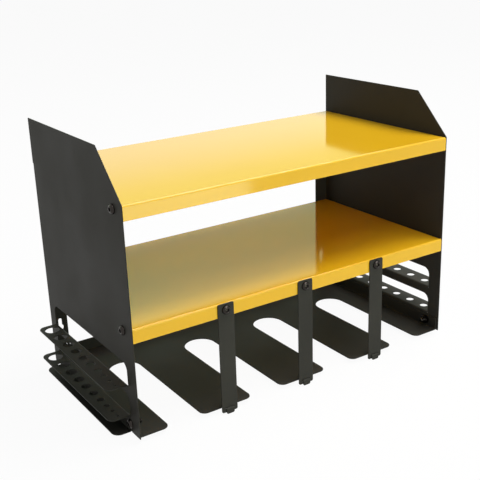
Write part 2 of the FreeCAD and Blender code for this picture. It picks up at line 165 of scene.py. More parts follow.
yellowCoatSettings = {
    "colours": ("#F0B81A", "#F4BE20"),
    "patch": 90.0,   # mm, slow drift of shade and gloss
    "patchDetail": 2.0,
    "peel": 4.0,   # mm, orange peel of the gloss film
    "peelDetail": 1.0,
    "peelDepth": 0.03,   # mm
    "peelStrength": 0.12,
    "roughness": (0.07, 0.11),
    "ior": 1.46,
}


def glossYellowPowderCoat(s):
    # gloss powder baked smooth: it mirrors the studio, only slightly rippled
    material, tree = newMaterial("glossYellowPowderCoat")
    dark, light = (linearColour(hexCode) for hexCode in s["colours"])
    place = addNode(tree, "ShaderNodeTexCoord").outputs["Object"]
    patch = addNode(tree, "ShaderNodeTexNoise", {"Scale": 1 / (s["patch"] * mm), "Detail": s["patchDetail"]},
                    {"Vector": place})
    peel = addNode(tree, "ShaderNodeTexNoise", {"Scale": 1 / (s["peel"] * mm), "Detail": s["peelDetail"]},
                   {"Vector": place})
    shade = addNode(tree, "ShaderNodeMix", {"A": dark, "B": light}, {"Factor": patch.outputs["Fac"]},
                    data_type="RGBA")
    rough = addNode(tree, "ShaderNodeMapRange", {"To Min": s["roughness"][0], "To Max": s["roughness"][1]},
                    {"Value": patch.outputs["Fac"]})
    ripple = addNode(tree, "ShaderNodeBump", {"Strength": s["peelStrength"], "Distance": s["peelDepth"] * mm},
                     {"Height": peel.outputs["Fac"]})
    coat = addNode(tree, "ShaderNodeBsdfPrincipled", {"IOR": s["ior"]},
                   {"Base Color": shade.outputs["Result"], "Roughness": rough.outputs["Result"],
                    "Normal": ripple.outputs["Normal"]})
    addNode(tree, "ShaderNodeOutputMaterial", None, {"Surface": coat.outputs["BSDF"]})
    return material


boltSettings = {
    "colours": ("#2A2725", "#3B3734"),
    "grain": 0.8,   # mm, marks of the forging, drawn coarser than in life so that they show
    "grainDetail": 3.0,
    "grainDepth": 0.01,   # mm
    "grainStrength": 0.2,
    "roughness": (0.17, 0.27),
}


def blackOxideSteel(s):
    # steel blackened in a hot salt bath: dark metal with a dull sheen
    material, tree = newMaterial("blackOxideSteel")
    dark, light = (linearColour(hexCode) for hexCode in s["colours"])
    place = addNode(tree, "ShaderNodeTexCoord").outputs["Object"]
    grain = addNode(tree, "ShaderNodeTexNoise", {"Scale": 1 / (s["grain"] * mm), "Detail": s["grainDetail"]},
                    {"Vector": place})
    shade = addNode(tree, "ShaderNodeMix", {"A": dark, "B": light}, {"Factor": grain.outputs["Fac"]},
                    data_type="RGBA")
    rough = addNode(tree, "ShaderNodeMapRange", {"To Min": s["roughness"][0], "To Max": s["roughness"][1]},
                    {"Value": grain.outputs["Fac"]})
    marks = addNode(tree, "ShaderNodeBump",
                    {"Strength": s["grainStrength"], "Distance": s["grainDepth"] * mm},
                    {"Height": grain.outputs["Fac"]})
    steel = addNode(tree, "ShaderNodeBsdfPrincipled", {"Metallic": 1.0},
                    {"Base Color": shade.outputs["Result"], "Roughness": rough.outputs["Result"],
                     "Normal": marks.outputs["Normal"]})
    addNode(tree, "ShaderNodeOutputMaterial", None, {"Surface": steel.outputs["BSDF"]})
    return material


blackCoat = satinBlackPowderCoat(blackCoatSettings)
yellowCoat = glossYellowPowderCoat(yellowCoatSettings)
blackSteel = blackOxideSteel(boltSettings)
print("materials made")


def finishedPiece(source, name, material, nodes):
    # the evaluated mesh as a plain object at the origin, riding on the one body
    bpy.context.view_layer.update()
    evaluated = source.evaluated_get(bpy.context.evaluated_depsgraph_get())
    mesh = bpy.data.meshes.new_from_object(evaluated)
    mesh.name = name
    bpy.data.objects.remove(source)
    mesh.materials.clear()
    mesh.materials.append(material)
    piece = bpy.data.objects.new(name, mesh)
    bpy.context.scene.collection.objects.link(piece)
    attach(piece, "root")
    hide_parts(*nodes)
    return piece


# the coat rounds every sheared and punched edge of the sheets a little
edgeSettings = {
    "round": 0.28,   # mm
    "steps": 2,
    "sharpAngle": 40.0,   # degrees
    "foldedBack": 20.0,   # degrees, the least angle between two rounded edges of one corner
}


def markSharpEdges(shape, s):
    # sharp edges get the weight that rounds them, but not the longer of two that run back beside each other
    weights = shape.edges.layers.float.new("bevel_weight_edge")
    for edge in shape.edges:
        edge[weights] = float(edge.calc_face_angle(0.0) > math.radians(s["sharpAngle"]))
    for corner in shape.verts:
        sharp = [edge for edge in corner.link_edges if edge[weights]]
        sharp.sort(key=lambda edge: edge.calc_length())
        ways = [(edge.other_vert(corner).co - corner.co).normalized() for edge in sharp]
        for index, way in enumerate(ways):
            if any(way.angle(other) < math.radians(s["foldedBack"]) for other in ways[:index]):
                sharp[index][weights] = 0.0


def coatedEdges(source, s, limit):
    edges = source.modifiers.new("coatedEdges", "BEVEL")
    edges.width = s["round"] * mm
    edges.segments = s["steps"]
    edges.limit_method = limit
    edges.angle_limit = math.radians(s["sharpAngle"])
    edges.use_clamp_overlap = False
    edges.loop_slide = False
    normals = source.modifiers.new("flatFaces", "WEIGHTED_NORMAL")
    normals.mode = "FACE_AREA"


# folded sheets keep the shape of the CAD
sheetSettings = {
    "mergeDistance": 0.002,   # mm
    "flatAngle": 0.4,   # degrees, up to which two faces count as one
    "sheets": [
        # CAD node, piece, coat and material slot
        ("left_side_panel", "leftPanel", blackCoat, "black_powder_coat"),
        ("right_side_panel", "rightPanel", blackCoat, "black_powder_coat"),
        ("top_shelf", "topShelf", yellowCoat, "yellow_powder_coat"),
        ("lower_shelf", "lowerShelf", yellowCoat, "yellow_powder_coat"),
        ("drill_rack", "drillRack", blackCoat, "black_powder_coat"),
    ],
}


def foldedSheet(s, nodeName, name, material, slotName):
    shape = bmesh.new()
    shape.from_mesh(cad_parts[nodeName].data)
    bmesh.ops.remove_doubles(shape, verts=shape.verts, dist=s["mergeDistance"] * mm)
    bmesh.ops.dissolve_limit(shape, angle_limit=math.radians(s["flatAngle"]), verts=shape.verts,
                             edges=shape.edges)
    for face in shape.faces:
        face.smooth = True
    markSharpEdges(shape, edgeSettings)
    mesh = bpy.data.meshes.new(name)
    shape.to_mesh(mesh)
    shape.free()
    source = bpy.data.objects.new(name + "Source", mesh)
    bpy.context.scene.collection.objects.link(source)
    coatedEdges(source, edgeSettings, "WEIGHT")
    return finishedPiece(source, name, material, [nodeName])


for sheet in sheetSettings["sheets"]:
    piece = foldedSheet(sheetSettings, *sheet)
    print("sheet made:", piece.name, len(piece.data.polygons), "faces")


def newTree(name, sockets):
    # a geometry tree with named inputs, and the sockets that give their values inside it
    tree = bpy.data.node_groups.new(name, "GeometryNodeTree")
    for title, kind in sockets.items():
        tree.interface.new_socket(title, in_out="INPUT", socket_type="NodeSocket" + kind)
    tree.interface.new_socket("Geometry", in_out="OUTPUT", socket_type="NodeSocketGeometry")
    return tree, addNode(tree, "NodeGroupInput").outputs


weldDistance = 0.001   # mm


def joinedParts(tree, parts):
    # every part in one geometry, welded where points meet
    joined = addNode(tree, "GeometryNodeJoinGeometry")
    for part in parts:
        tree.links.new(part.outputs[0], joined.inputs[0])
    return addNode(tree, "GeometryNodeMergeByDistance", {"Distance": weldDistance * mm},
                   {"Geometry": joined.outputs[0]})


def copiesOnSeats(tree, size, shape):
    # one copy of the shape on each seat, turned by chance about its own axis up to Spin
    outward = addNode(tree, "GeometryNodeInputNamedAttribute", {"Name": "outward"}, data_type="FLOAT_VECTOR")
    aim = addNode(tree, "FunctionNodeAlignRotationToVector", None, {"Vector": outward.outputs["Attribute"]},
                  axis="Z")
    chance = addNode(tree, "FunctionNodeRandomValue", None, {"Max": size["Spin"], "Seed": size["Seed"]},
                     data_type="FLOAT")
    spin = addNode(tree, "FunctionNodeAxisAngleToRotation", {"Axis": (0.0, 0.0, 1.0)},
                   {"Angle": chance.outputs["Value"]})
    pose = addNode(tree, "FunctionNodeRotateRotation", None,
                   {"Rotation": aim.outputs[0], "Rotate By": spin.outputs[0]}, rotation_space="LOCAL")
    copies = addNode(tree, "GeometryNodeInstanceOnPoints", None,
                     {"Points": size["Seats"], "Instance": shape.outputs[0], "Rotation": pose.outputs[0]})
    real = addNode(tree, "GeometryNodeRealizeInstances", None, {"Geometry": copies.outputs[0]})
    finished = addNode(tree, "GeometryNodeSetMaterial", None,
                       {"Geometry": real.outputs[0], "Material": size["Material"]})
    addNode(tree, "NodeGroupOutput", None, {"Geometry": finished.outputs[0]})


seatInputs = {"Seats": "Geometry", "Spin": "Float", "Seed": "Int", "Material": "Material"}
outwardBySide = {"strap": Vector((0, -1, 0)), "left": Vector((-1, 0, 0)), "right": Vector((1, 0, 0))}


def seatOf(nodeName, proud):
    # the point where a node's outer part begins, proud of it by a length in mm, and the way it faces
    outward = next(direction for side, direction in outwardBySide.items() if side in nodeName)
    low, high = (Vector(corner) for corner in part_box(nodeName))
    reach = abs((high - low).dot(outward)) / 2
    return (low + high) / 2 + outward * (reach - proud * mm), outward


def seatedPiece(name, tree, values, nodes, proud, material, edges=None):
    # the tree makes one part on the seat of each node
    seats = [seatOf(nodeName, proud) for nodeName in nodes]
    mesh = bpy.data.meshes.new(name + "Seats")
    mesh.from_pydata([point for point, outward in seats], [], [])
    directions = mesh.attributes.new("outward", "FLOAT_VECTOR", "POINT")
    directions.data.foreach_set("vector", [value for point, outward in seats for value in outward])
    source = bpy.data.objects.new(name + "Source", mesh)
    bpy.context.scene.collection.objects.link(source)
    maker = source.modifiers.new(name, "NODES")
    maker.node_group = tree
    for title, value in values.items():
        maker[tree.interface.items_tree[title].identifier] = value
    maker[tree.interface.items_tree["Material"].identifier] = material
    if edges:
        coatedEdges(source, edges, "ANGLE")
    return finishedPiece(source, name, material, nodes)


def nodesWith(word):
    return sorted(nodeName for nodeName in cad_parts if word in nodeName)


# hanger straps: flat bars with round corners, a screw hole and a slot for the rack's tongue
strapSettings = {
    "thickness": 1.5,   # mm, as all sizes here
    "cornerRadius": 2.0,
    "cornerSteps": 6,
    "holeRadius": 3.3,
    "holeSteps": 48,
    "holeDrop": 7.0,   # from the top end
    "slotWidth": 10.6,
    "slotHeight": 2.1,   # no light shows over the tongue
    "slotRise": 4.75,   # from the foot to the slot's middle
}


def hangerStrapTree():
    tree, size = newTree("hangerStrap", dict(seatInputs, **{
        "Width": "Float", "Height": "Float", "Thickness": "Float", "Corner Radius": "Float",
        "Corner Steps": "Int", "Hole Radius": "Float", "Hole Steps": "Int", "Hole Drop": "Float",
        "Slot Width": "Float", "Slot Height": "Float", "Slot Rise": "Float",
    }))
    bar = addNode(tree, "GeometryNodeCurvePrimitiveQuadrilateral", None,
                  {"Width": size["Width"], "Height": size["Height"]})
    outline = addNode(tree, "GeometryNodeFilletCurve", None,
                      {"Curve": bar.outputs[0], "Radius": size["Corner Radius"]}, mode="POLY")
    tree.links.new(size["Corner Steps"], outline.inputs["Count"])
    hole = addNode(tree, "GeometryNodeCurvePrimitiveCircle", None,
                   {"Radius": size["Hole Radius"], "Resolution": size["Hole Steps"]}, mode="RADIUS")
    slot = addNode(tree, "GeometryNodeCurvePrimitiveQuadrilateral", None,
                   {"Width": size["Slot Width"], "Height": size["Slot Height"]})
    half = addNode(tree, "ShaderNodeMath", {1: 0.5}, {0: size["Height"]}, operation="MULTIPLY")
    holeHeight = addNode(tree, "ShaderNodeMath", None, {0: half.outputs[0], 1: size["Hole Drop"]},
                         operation="SUBTRACT")
    slotHeight = addNode(tree, "ShaderNodeMath", None, {0: size["Slot Rise"], 1: half.outputs[0]},
                         operation="SUBTRACT")
    curves = addNode(tree, "GeometryNodeJoinGeometry", None, {"Geometry": outline.outputs[0]})
    for cut, height in ((hole, holeHeight), (slot, slotHeight)):
        place = addNode(tree, "ShaderNodeCombineXYZ", None, {"Y": height.outputs[0]})
        moved = addNode(tree, "GeometryNodeTransform", None,
                        {"Geometry": cut.outputs[0], "Translation": place.outputs[0]})
        tree.links.new(moved.outputs[0], curves.inputs[0])
    back = addNode(tree, "GeometryNodeFillCurve", None, {"Curve": curves.outputs[0]}, mode="NGONS")
    front = addNode(tree, "GeometryNodeExtrudeMesh", {"Individual": False},
                    {"Mesh": back.outputs[0], "Offset Scale": size["Thickness"]}, mode="FACES")
    turned = addNode(tree, "GeometryNodeFlipFaces", None, {"Mesh": back.outputs[0]})
    solid = joinedParts(tree, [front, turned])
    smooth = addNode(tree, "GeometryNodeSetShadeSmooth", None, {"Geometry": solid.outputs[0]})
    copiesOnSeats(tree, size, smooth)
    return tree


def hangerStraps(s):
    nodes = ["hanger_strap_" + str(number) for number in (1, 2, 3)]
    low, high = (Vector(corner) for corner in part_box(nodes[0]))
    values = {
        "Width": high.x - low.x, "Height": high.z - low.z, "Thickness": s["thickness"] * mm,
        "Corner Radius": s["cornerRadius"] * mm, "Corner Steps": s["cornerSteps"],
        "Hole Radius": s["holeRadius"] * mm, "Hole Steps": s["holeSteps"], "Hole Drop": s["holeDrop"] * mm,
        "Slot Width": s["slotWidth"] * mm, "Slot Height": s["slotHeight"] * mm,
        "Slot Rise": s["slotRise"] * mm,
    }
    return seatedPiece("hangerStraps", hangerStrapTree(), values, nodes, s["thickness"],
                       blackCoat, edgeSettings)


piece = hangerStraps(strapSettings)
print("straps made:", len(piece.data.polygons), "faces")


def ringBandTree():
    # a strip between two rings round Z, each given as radius, share of hexagon and height;
    # a hexagon's corners may drop below its flats, and the strip may bulge like a dome;
    # it is bent from a flat grid, one unit wide and high about its middle: X is the way round, Y along
    tree, size = newTree("ringBand", {
        "Start": "Vector", "End": "Vector", "Start Drop": "Float", "End Drop": "Float",
        "Bulge": "Float", "Rows": "Int", "Columns": "Int",
    })
    grid = addNode(tree, "GeometryNodeMeshGrid", {"Size X": 1.0, "Size Y": 1.0},
                   {"Vertices X": size["Columns"], "Vertices Y": size["Rows"]})
    spot = addNode(tree, "GeometryNodeInputPosition")
    share = addNode(tree, "ShaderNodeSeparateXYZ", None, {"Vector": spot.outputs[0]})
    turn = addNode(tree, "ShaderNodeMath", {1: math.tau, 2: math.pi}, {0: share.outputs["X"]},
                   operation="MULTIPLY_ADD")
    along = addNode(tree, "ShaderNodeMath", {1: 0.5}, {0: share.outputs["Y"]}, operation="ADD")
    sector = addNode(tree, "ShaderNodeMath", {1: math.pi / 3}, {0: turn.outputs[0]}, operation="MODULO")
    fromFlat = addNode(tree, "ShaderNodeMath", {1: math.pi / 6}, {0: sector.outputs[0]}, operation="SUBTRACT")
    cosine = addNode(tree, "ShaderNodeMath", None, {0: fromFlat.outputs[0]}, operation="COSINE")
    reach = addNode(tree, "ShaderNodeMath", {0: 1.0}, {1: cosine.outputs[0]}, operation="DIVIDE")
    swell = addNode(tree, "ShaderNodeMath", {1: 1.0}, {0: reach.outputs[0]}, operation="SUBTRACT")
    points = []
    for ring, drop in (("Start", "Start Drop"), ("End", "End Drop")):
        part = addNode(tree, "ShaderNodeSeparateXYZ", None, {"Vector": size[ring]})
        hexagon = addNode(tree, "ShaderNodeMath", None, {0: swell.outputs[0], 1: part.outputs["Y"]},
                          operation="MULTIPLY")
        extra = addNode(tree, "ShaderNodeMath", None, {0: hexagon.outputs[0], 1: part.outputs["X"]},
                        operation="MULTIPLY")
        radius = addNode(tree, "ShaderNodeMath", None, {0: part.outputs["X"], 1: extra.outputs[0]},
                         operation="ADD")
        fall = addNode(tree, "ShaderNodeMath", None, {0: extra.outputs[0], 1: size[drop]},
                       operation="MULTIPLY")
        height = addNode(tree, "ShaderNodeMath", None, {0: part.outputs["Z"], 1: fall.outputs[0]},
                         operation="SUBTRACT")
        points.append(addNode(tree, "ShaderNodeCombineXYZ", None,
                              {"X": radius.outputs[0], "Z": height.outputs[0]}).outputs[0])
    chord = addNode(tree, "ShaderNodeVectorMath", None, {0: points[1], 1: points[0]}, operation="SUBTRACT")
    across = addNode(tree, "ShaderNodeVectorMath", {0: (0.0, 1.0, 0.0)}, {1: chord.outputs[0]},
                     operation="CROSS_PRODUCT")
    proud = addNode(tree, "ShaderNodeVectorMath", None, {0: across.outputs[0]}, operation="NORMALIZE")
    rest = addNode(tree, "ShaderNodeMath", {0: 1.0}, {1: along.outputs[0]}, operation="SUBTRACT")
    arch = addNode(tree, "ShaderNodeMath", None, {0: along.outputs[0], 1: rest.outputs[0]},
                   operation="MULTIPLY")
    # four times the arch is 1 in the middle of the strip
    crown = addNode(tree, "ShaderNodeMath", {1: 4.0}, {0: arch.outputs[0]}, operation="MULTIPLY")
    bulge = addNode(tree, "ShaderNodeMath", None, {0: crown.outputs[0], 1: size["Bulge"]},
                    operation="MULTIPLY")
    straight = addNode(tree, "ShaderNodeMix", None,
                       {"Factor": along.outputs[0], "A": points[0], "B": points[1]}, data_type="VECTOR")
    lift = addNode(tree, "ShaderNodeVectorMath", None, {0: proud.outputs[0], "Scale": bulge.outputs[0]},
                   operation="SCALE")
    section = addNode(tree, "ShaderNodeVectorMath", None, {0: straight.outputs["Result"], 1: lift.outputs[0]},
                      operation="ADD")
    place = addNode(tree, "ShaderNodeVectorRotate", None,
                    {"Vector": section.outputs[0], "Angle": turn.outputs[0]}, rotation_type="Z_AXIS")
    strip = addNode(tree, "GeometryNodeSetPosition", None,
                    {"Geometry": grid.outputs[0], "Position": place.outputs[0]})
    addNode(tree, "NodeGroupOutput", None, {"Geometry": strip.outputs[0]})
    return tree


# the thread's section, in shares of the pitch from the middle of the root, and its ends
threadSettings = {
    "flankFoot": 0.08,
    "flankHead": 0.42,
    "runOut": 0.06,   # share of the length over which it fades at either end
}


def threadBandTree(s):
    # a strip along Z whose radius goes from root to crest and back once a turn, rising by the pitch
    tree, size = newTree("threadBand", {
        "Root Radius": "Float", "Crest Radius": "Float", "Start Height": "Float", "End Height": "Float",
        "Pitch": "Float", "Rows": "Int", "Columns": "Int",
    })
    grid = addNode(tree, "GeometryNodeMeshGrid", {"Size X": 1.0, "Size Y": 1.0},
                   {"Vertices X": size["Columns"], "Vertices Y": size["Rows"]})
    spot = addNode(tree, "GeometryNodeInputPosition")
    share = addNode(tree, "ShaderNodeSeparateXYZ", None, {"Vector": spot.outputs[0]})
    turn = addNode(tree, "ShaderNodeMath", {1: math.tau, 2: math.pi}, {0: share.outputs["X"]},
                   operation="MULTIPLY_ADD")
    height = addNode(tree, "ShaderNodeMapRange", {"From Min": -0.5, "From Max": 0.5},
                     {"Value": share.outputs["Y"], "To Min": size["Start Height"],
                      "To Max": size["End Height"]})
    turns = addNode(tree, "ShaderNodeMath", None, {0: height.outputs[0], 1: size["Pitch"]},
                    operation="DIVIDE")
    phase = addNode(tree, "ShaderNodeMath", None, {0: turns.outputs[0], 1: share.outputs["X"]},
                    operation="SUBTRACT")
    flank = addNode(tree, "ShaderNodeMath", {1: 0.5}, {0: phase.outputs[0]}, operation="PINGPONG")
    crest = addNode(tree, "ShaderNodeMapRange", {"From Min": s["flankFoot"], "From Max": s["flankHead"]},
                    {"Value": flank.outputs[0]})
    middle = addNode(tree, "ShaderNodeMath", None, {0: share.outputs["Y"]}, operation="ABSOLUTE")
    fade = addNode(tree, "ShaderNodeMapRange", {"From Min": 0.5, "From Max": 0.5 - s["runOut"]},
                   {"Value": middle.outputs[0]})
    depth = addNode(tree, "ShaderNodeMath", None, {0: crest.outputs[0], 1: fade.outputs[0]},
                    operation="MULTIPLY")
    radius = addNode(tree, "ShaderNodeMapRange", None,
                     {"Value": depth.outputs[0], "To Min": size["Root Radius"],
                      "To Max": size["Crest Radius"]})
    section = addNode(tree, "ShaderNodeCombineXYZ", None, {"X": radius.outputs[0], "Z": height.outputs[0]})
    place = addNode(tree, "ShaderNodeVectorRotate", None,
                    {"Vector": section.outputs[0], "Angle": turn.outputs[0]}, rotation_type="Z_AXIS")
    strip = addNode(tree, "GeometryNodeSetPosition", None,
                    {"Geometry": grid.outputs[0], "Position": place.outputs[0]})
    addNode(tree, "NodeGroupOutput", None, {"Geometry": strip.outputs[0]})
    return tree


ringBand = ringBandTree()
threadBand = threadBandTree(threadSettings)


def turnedSkin(tree, size, rings, rows, bulges, thread):
    # strips of faces from each ring to the next, with rows of points along each, or a thread where the rows
    # are 0; a ring is the input of its radius, its share of hexagon, and the inputs of its height and drop
    points = []
    drops = []
    for radius, share, height, drop in rings:
        links = {axis: size[title] for axis, title in (("X", radius), ("Z", height)) if title}
        points.append(addNode(tree, "ShaderNodeCombineXYZ", {"Y": share}, links).outputs[0])
        drops.append(drop)
    strips = []
    for index, count in enumerate(rows):
        if not count:
            links = {title: size[source] for title, source in thread.items()}
            strips.append(addNode(tree, "GeometryNodeGroup", None, links, node_tree=threadBand))
            continue
        links = {"Start": points[index], "End": points[index + 1], "Columns": size["Columns"]}
        for title, drop in (("Start Drop", drops[index]), ("End Drop", drops[index + 1])):
            if drop:
                links[title] = size[drop]
        if index in bulges:
            links["Bulge"] = size[bulges[index]]
        strips.append(addNode(tree, "GeometryNodeGroup", {"Rows": count}, links, node_tree=ringBand))
    skin = joinedParts(tree, strips)
    smooth = addNode(tree, "GeometryNodeSetShadeSmooth", None, {"Geometry": skin.outputs[0]}, domain="FACE")
    # edges that fold by more than the sharp angle stay sharp
    fold = addNode(tree, "GeometryNodeInputMeshEdgeAngle")
    soft = addNode(tree, "FunctionNodeCompare", None,
                   {"A": fold.outputs["Unsigned Angle"], "B": size["Sharp Angle"]}, operation="LESS_THAN")
    return addNode(tree, "GeometryNodeSetShadeSmooth", None,
                   {"Geometry": smooth.outputs[0], "Shade Smooth": soft.outputs[0]}, domain="EDGE")


# button-head screws: thread size 6 mm, coarse pitch, hexagon socket
screwSettings = {
    "headRadius": 5.25,   # mm, as all sizes here
    "rimHeight": 0.66,
    "edgeRound": 0.15,
    "crownRadius": 3.0,
    "headHeight": 3.3,
    "domeBulge": 0.46,
    "socketHalfWidth": 2.0,
    "socketDepth": 2.3,
    "socketPoint": 1.0,   # depth of the drilled point in its floor
    "mouthRadius": 2.4,
    "mouthDepth": 0.25,
    "shankRadius": 3.0,
    "shankLength": 12.0,
    "pointChamfer": 0.8,
    "pointLead": 0.5,
    "pitch": 1.0,
    "threadDepth": 0.55,
    "rowsPerPitch": 8,
    "domeRows": 9,
    "columns": 48,   # a multiple of six, so that the socket's corners lie on columns
    "sharpAngle": 32.0,   # degrees
    "seed": 7,
}


def buttonScrewTree(s):
    tree, size = newTree("buttonScrew", dict(seatInputs, **{
        "Head Radius": "Float", "Rim Foot Radius": "Float", "Rim Foot": "Float", "Rim Height": "Float",
        "Crown Radius": "Float", "Head Height": "Float", "Dome Bulge": "Float", "Mouth Radius": "Float",
        "Mouth Foot": "Float", "Socket Half Width": "Float", "Socket Floor": "Float", "Socket Point": "Float",
        "Point Height": "Float", "Point Radius": "Float", "Thread Foot": "Float", "Thread Head": "Float",
        "Root Radius": "Float", "Crest Radius": "Float", "Pitch": "Float", "Thread Rows": "Int",
        "Columns": "Int", "Sharp Angle": "Float",
    }))
    rings = [
        (None, 0, "Point Height", None),
        ("Point Radius", 0, "Point Height", None),
        ("Root Radius", 0, "Thread Foot", None),
        ("Root Radius", 0, "Thread Head", None),
        ("Rim Foot Radius", 0, "Thread Head", None),
        ("Head Radius", 0, "Rim Foot", None),
        ("Head Radius", 0, "Rim Height", None),
        ("Crown Radius", 0, "Head Height", None),
        ("Mouth Radius", 0, "Head Height", None),
        ("Socket Half Width", 1, "Mouth Foot", None),
        ("Socket Half Width", 1, "Socket Floor", None),
        (None, 0, "Socket Point", None),
    ]
    rows = [3, 2, 0, 2, 2, 2, s["domeRows"], 2, 2, 3, 3]
    bulges = {6: "Dome Bulge"}   # on the strip from the rim to the crown
    thread = {"Root Radius": "Root Radius", "Crest Radius": "Crest Radius", "Start Height": "Thread Foot",
              "End Height": "Thread Head", "Pitch": "Pitch", "Rows": "Thread Rows", "Columns": "Columns"}
    copiesOnSeats(tree, size, turnedSkin(tree, size, rings, rows, bulges, thread))
    return tree


def buttonScrews(s):
    threadFoot = -s["shankLength"] + s["pointLead"]
    lengths = {
        "Head Radius": s["headRadius"], "Rim Foot Radius": s["headRadius"] - s["edgeRound"],
        "Rim Foot": s["edgeRound"], "Rim Height": s["rimHeight"], "Crown Radius": s["crownRadius"],
        "Head Height": s["headHeight"], "Dome Bulge": s["domeBulge"], "Mouth Radius": s["mouthRadius"],
        "Mouth Foot": s["headHeight"] - s["mouthDepth"], "Socket Half Width": s["socketHalfWidth"],
        "Socket Floor": s["headHeight"] - s["socketDepth"],
        "Socket Point": s["headHeight"] - s["socketDepth"] - s["socketPoint"],
        "Point Height": -s["shankLength"], "Point Radius": s["shankRadius"] - s["pointChamfer"],
        "Thread Foot": threadFoot, "Thread Head": 0.0, "Root Radius": s["shankRadius"] - s["threadDepth"],
        "Crest Radius": s["shankRadius"], "Pitch": s["pitch"],
    }
    values = {title: length * mm for title, length in lengths.items()}
    values.update({
        "Thread Rows": round(-threadFoot / s["pitch"] * s["rowsPerPitch"]) + 1, "Columns": s["columns"] + 1,
        "Sharp Angle": math.radians(s["sharpAngle"]), "Spin": math.tau, "Seed": s["seed"],
    })
    return seatedPiece("buttonScrews", buttonScrewTree(s), values, nodesWith("_screw_"), s["headHeight"],
                       blackSteel)


piece = buttonScrews(screwSettings)
print("screws made:", len(piece.data.polygons), "faces")

# plain nuts behind the sheets, their corners chamfered on both faces
nutSettings = {
    "halfWidth": 5.0,   # mm, as all sizes here
    "height": 5.0,
    "faceRadius": 4.75,
    "cornerSlope": 0.577,   # the tangent of 30 degrees
    "mouthRadius": 3.6,
    "boreRoot": 3.35,
    "boreCrest": 3.06,
    "mouthDepth": 0.3,
    "pitch": 1.0,
    "rowsPerPitch": 8,
    "columns": 48,
    "sharpAngle": 25.0,   # degrees
    "seed": 11,
}


def plainNutTree():
    tree, size = newTree("plainNut", dict(seatInputs, **{
        "Face": "Float", "Foot": "Float", "Half Width": "Float", "Face Radius": "Float",
        "Mouth Radius": "Float", "Bore Root": "Float", "Bore Crest": "Float", "Thread Top": "Float",
        "Thread Foot": "Float",
        "Wall Top": "Float", "Wall Foot": "Float", "Top Slope": "Float", "Foot Slope": "Float",
        "Pitch": "Float", "Thread Rows": "Int", "Columns": "Int", "Sharp Angle": "Float",
    }))
    rings = [
        ("Mouth Radius", 0, "Face", None),
        ("Bore Root", 0, "Thread Top", None),
        ("Bore Root", 0, "Thread Foot", None),
        ("Mouth Radius", 0, "Foot", None),
        ("Face Radius", 0, "Foot", None),
        ("Half Width", 1, "Wall Foot", "Foot Slope"),
        ("Half Width", 1, "Wall Top", "Top Slope"),
        ("Face Radius", 0, "Face", None),
        ("Mouth Radius", 0, "Face", None),
    ]
    rows = [2, 0, 2, 2, 2, 3, 2, 2]
    thread = {"Root Radius": "Bore Root", "Crest Radius": "Bore Crest", "Start Height": "Thread Top",
              "End Height": "Thread Foot", "Pitch": "Pitch", "Rows": "Thread Rows", "Columns": "Columns"}
    copiesOnSeats(tree, size, turnedSkin(tree, size, rings, rows, {}, thread))
    return tree


def plainNuts(s):
    wallDrop = (s["halfWidth"] - s["faceRadius"]) * s["cornerSlope"]
    lengths = {
        "Face": 0.0, "Foot": -s["height"], "Half Width": s["halfWidth"], "Face Radius": s["faceRadius"],
        "Mouth Radius": s["mouthRadius"], "Bore Root": s["boreRoot"], "Bore Crest": s["boreCrest"],
        "Thread Top": -s["mouthDepth"], "Thread Foot": s["mouthDepth"] - s["height"],
        "Wall Top": -wallDrop, "Wall Foot": wallDrop - s["height"], "Pitch": s["pitch"],
    }
    values = {title: length * mm for title, length in lengths.items()}
    threadLength = s["height"] - 2 * s["mouthDepth"]
    values.update({
        "Top Slope": s["cornerSlope"], "Foot Slope": -s["cornerSlope"], "Columns": s["columns"] + 1,
        "Thread Rows": round(threadLength / s["pitch"] * s["rowsPerPitch"]) + 1,
        "Sharp Angle": math.radians(s["sharpAngle"]), "Spin": math.tau, "Seed": s["seed"],
    })
    return seatedPiece("plainNuts", plainNutTree(), values, nodesWith("_nut_"), 0.0,
                       blackSteel)


piece = plainNuts(nutSettings)
print("nuts made:", len(piece.data.polygons), "faces")

# studio: white all round, a pale floor and soft lamps
studioSettings = {
    "fill": 0.04,   # strength of the white surroundings on matt surfaces
    "floorSize": 60.0,   # m
    "floorPaint": "#F4F4F2",
    "floorWhite": 0.95,   # share of plain white that the camera and reflections see on the floor
    "lamps": [
        # place, width and height in m, power in W; each faces the origin, and those seen by matt or by gloss
        # light only that part of a surface
        {"name": "keyLamp", "place": (0.2, -1.0, 2.3), "size": (1.8, 1.8), "power": 28.5},
        {"name": "topLamp", "place": (1.1, -0.3, 2.25), "size": (1.6, 1.2), "power": 46.0},
        {"name": "frontLamp", "place": (0.2, -2.2, 0.15), "size": (1.2, 1.2), "power": 18.5, "seenBy": "matt",
         "colour": "#EEFFF6"},
        # a low card in front, for the sheen of the lips and straps
        {"name": "sheenCard", "place": (0.1, -0.85, -0.01), "size": (0.46, 0.24), "power": 1.45,
         "seenBy": "gloss", "colour": "#EEFFDC"},
        # a card high in front, for the bright rims of the screws and edges
        {"name": "rimCard", "place": (0.17, -1.75, 1.2), "size": (0.5, 0.5), "power": 10.0,
         "seenBy": "gloss"},
    ],
    "backdrop": {
        # a screen behind the object that glows with painted bands of colour, seen only in its gloss; the
        # reflections it gives the shelves come from this glow, not from a lamp; heights and distance in m
        "distance": 2.0,
        "halfWidth": 4.0,
        "low": 0.3,
        "high": 2.2,
        "bands": [(0.3, "#C5C5C5"), (0.66, "#D8E3D8"), (0.76, "#CCDABE"), (0.83, "#BECE90"),
                  (0.93, "#AED29C"), (1.12, "#CEEFC0"), (1.3, "#C5C5C5")],
        "strength": 1.8,
        # the glow of the upper part, which begins between two heights, falls from one level to the other
        # across it: painted light falling off across the screen
        "upper": (0.8, 0.92),
        "across": (0.9, 1.7),
        "levels": (1.22, 0.93),
    },
}


plainWhite = (1.0, 1.0, 1.0, 1.0)


